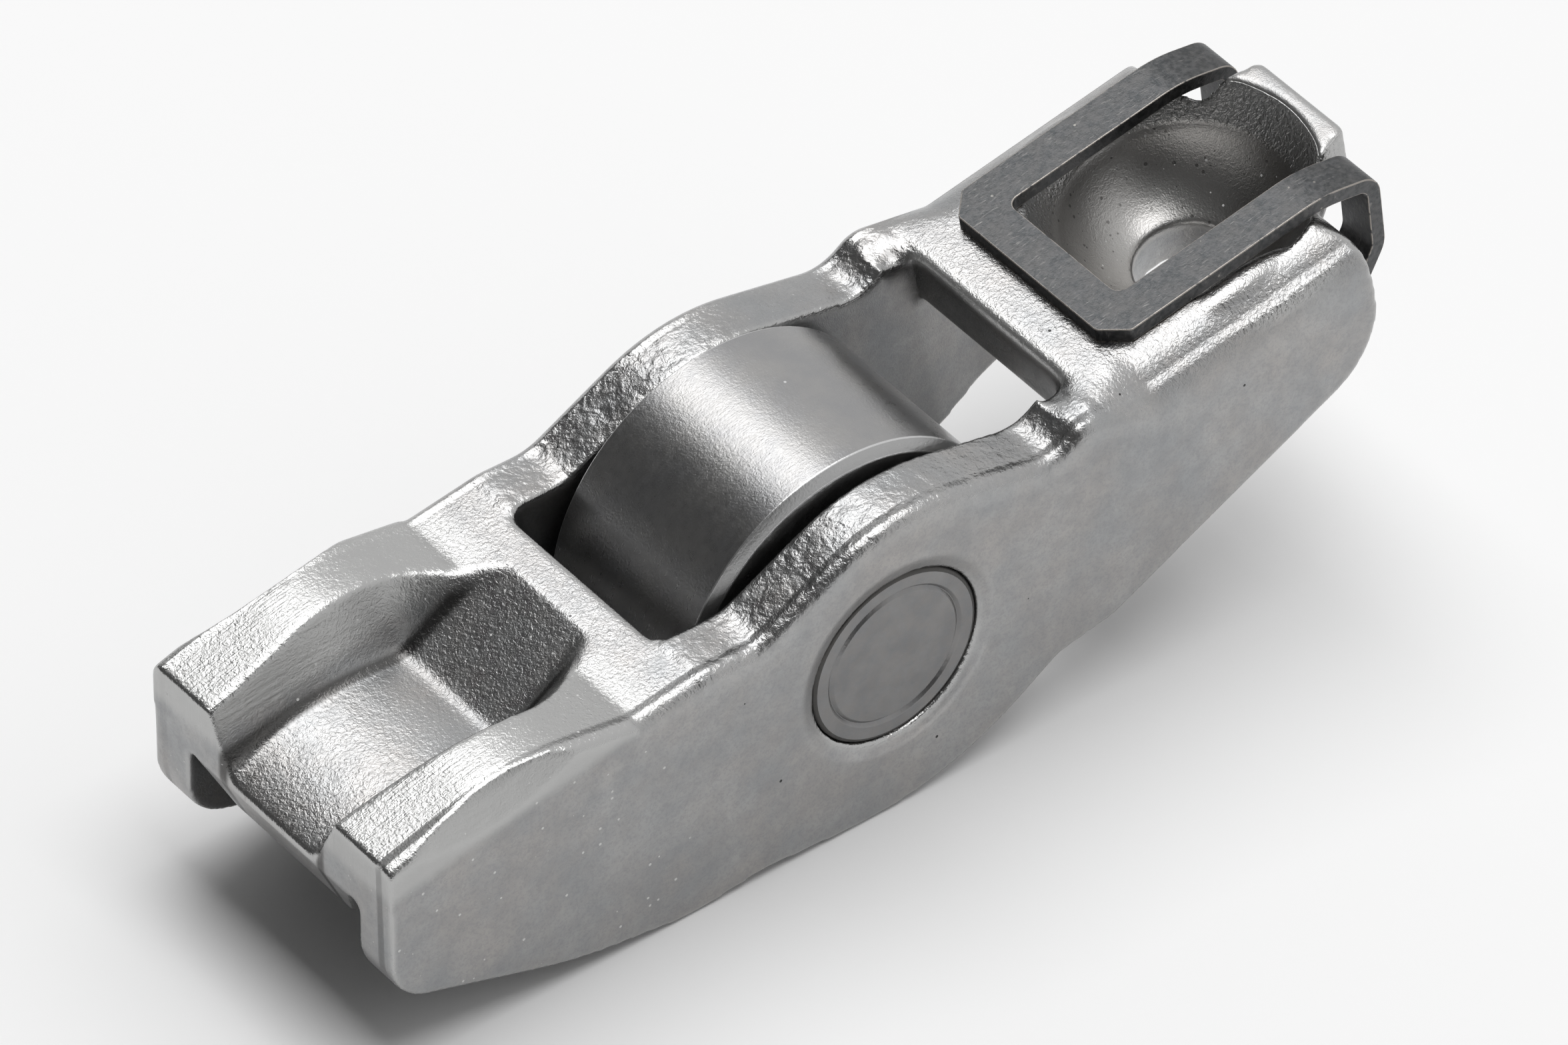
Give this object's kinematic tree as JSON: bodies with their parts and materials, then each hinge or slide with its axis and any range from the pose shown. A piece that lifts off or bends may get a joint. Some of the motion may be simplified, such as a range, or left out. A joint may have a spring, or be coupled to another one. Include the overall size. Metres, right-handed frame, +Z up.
{
  "type": "roller finger follower rocker arm",
  "caption": "Stamped steel rocker arm that pivots on a ball socket, with a needle-bearing cam roller, a valve pad between guide ribs and a U-shaped retaining clip.",
  "frame": {"origin": "centre of the ball seat, the point that the arm pivots about", "axes": "+Y along the roller axis, +X from the valve pad to the pivot end along the floor the arm lies on, +Z up, with the side that faces the valve and the pivot on top; the arm itself slopes 10.9 degrees down to its pad end, as it lies at rest on its roller and the knees of its walls"},
  "size_m": [0.0542, 0.016, 0.019],
  "materials": {
    "arm_steel": "tumbled and case-hardened sheet steel, satin grey with bright rubbed edges",
    "roller_steel": "hardened bearing steel, fine ground round the rim",
    "pin_steel": "turned steel pin, staked at the ends",
    "clip_steel": "dark phosphated spring steel strip with scuffed edges",
    "needle_steel": "polished bearing needles"
  },
  "bodies": {
    "arm": {"arm_body": "arm_steel", "axle_pin": "pin_steel", "retaining_clip": "clip_steel"},
    "roller": {"roller": "roller_steel"},
    "needle_set": {"needle_01": "needle_steel", "needle_02": "needle_steel", "needle_03": "needle_steel", "needle_04": "needle_steel", "needle_05": "needle_steel", "needle_06": "needle_steel", "needle_07": "needle_steel", "needle_08": "needle_steel", "needle_09": "needle_steel", "needle_10": "needle_steel", "needle_11": "needle_steel", "needle_12": "needle_steel", "needle_13": "needle_steel", "needle_14": "needle_steel", "needle_15": "needle_steel", "needle_16": "needle_steel", "needle_17": "needle_steel", "needle_18": "needle_steel", "needle_19": "needle_steel", "needle_20": "needle_steel"}
  },
  "joints": [
    {"name": "roller_spin", "type": "hinge", "parent": "arm", "child": "roller", "pos_m": [-0.0207, 0, -0.00937], "axis": [0, 1, 0], "continuous": true},
    {"name": "needle_orbit", "type": "hinge", "parent": "arm", "child": "needle_set", "pos_m": [-0.0207, 0, -0.00937], "axis": [0, 1, 0], "continuous": true}
  ],
  "couplings": [
    {"joint": "needle_orbit", "follows": "roller_spin", "ratio": 0.57594}
  ]
}
